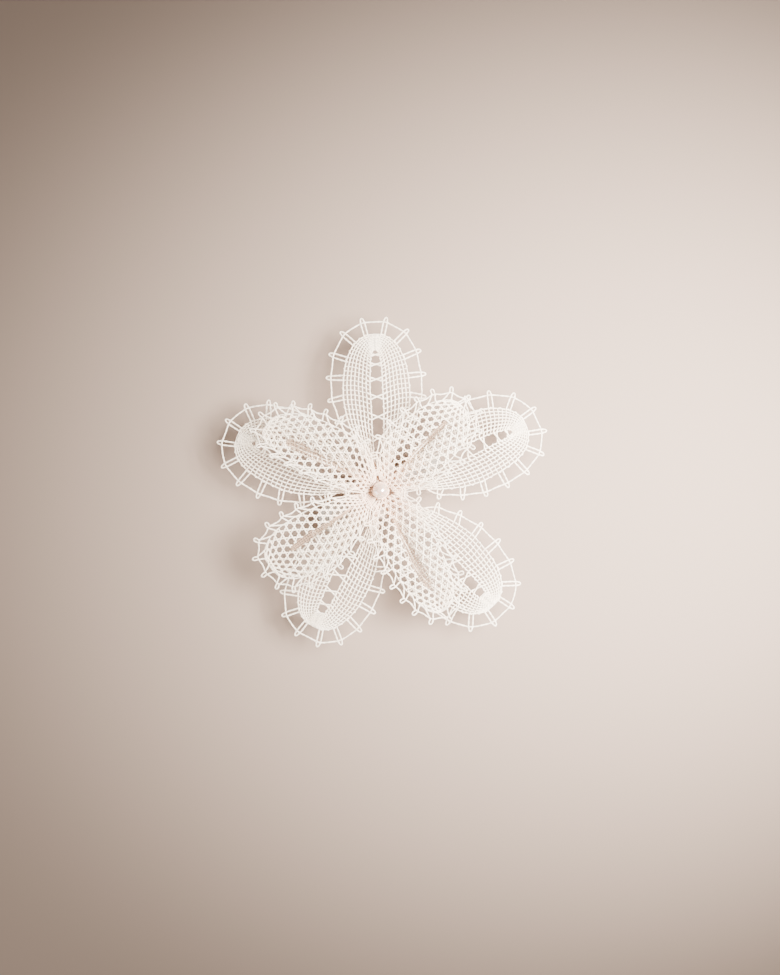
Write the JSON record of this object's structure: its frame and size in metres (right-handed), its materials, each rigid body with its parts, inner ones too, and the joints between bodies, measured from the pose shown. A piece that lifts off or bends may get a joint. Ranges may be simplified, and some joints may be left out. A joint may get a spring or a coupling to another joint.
{
  "type": "flower hair clip",
  "caption": "Hair clip with a two-layer bobbin-lace flower and a pearl bead, sewn on a felt pad over a sprung steel jaw clip.",
  "frame": {"origin": "on the clip's flat underside, straight below the bead", "axes": "+Z out of the flower's face, +Y towards the top petal, +X to the right as seen from above; the jaws point 30 degrees anticlockwise from +X"},
  "size_m": [0.0982, 0.0988, 0.0192],
  "materials": {
    "lace_thread": "matte ivory linen thread",
    "sewing_thread": "matte ivory sewing thread",
    "pearl": "pearly champagne lustre",
    "felt": "matte taupe wool felt",
    "clip_steel": "nickel-plated, satin",
    "spring_steel": "drawn wire, satin"
  },
  "bodies": {
    "flower_and_upper_jaw": {"upper_jaw": "clip_steel", "hinge_pin": "clip_steel", "torsion_spring": "spring_steel", "jaw_lining": "felt", "felt_pad": "felt", "root_binding": "sewing_thread", "stem_stitches": "sewing_thread", "petal_top": "lace_thread", "petal_upper_right": "lace_thread", "petal_lower_right": "lace_thread", "petal_bottom": "lace_thread", "petal_left": "lace_thread", "inner_petal_upper_left": "lace_thread", "inner_petal_lower_left": "lace_thread", "inner_petal_lower_right": "lace_thread", "inner_petal_upper_right": "lace_thread", "pearl_bead": "pearl", "bead_thread": "sewing_thread"},
    "lower_jaw": {"lower_jaw": "clip_steel"}
  },
  "joints": [
    {"name": "jaw_hinge", "type": "hinge", "parent": "flower_and_upper_jaw", "child": "lower_jaw", "pos_m": [-0.00779, -0.0045, 0.0034], "axis": [-0.5, 0.866, 0], "range_deg": [0, 20], "stiffness_Nm_per_rad": 0.12, "springref_deg": -34.38, "deforming": ["torsion_spring"]}
  ]
}
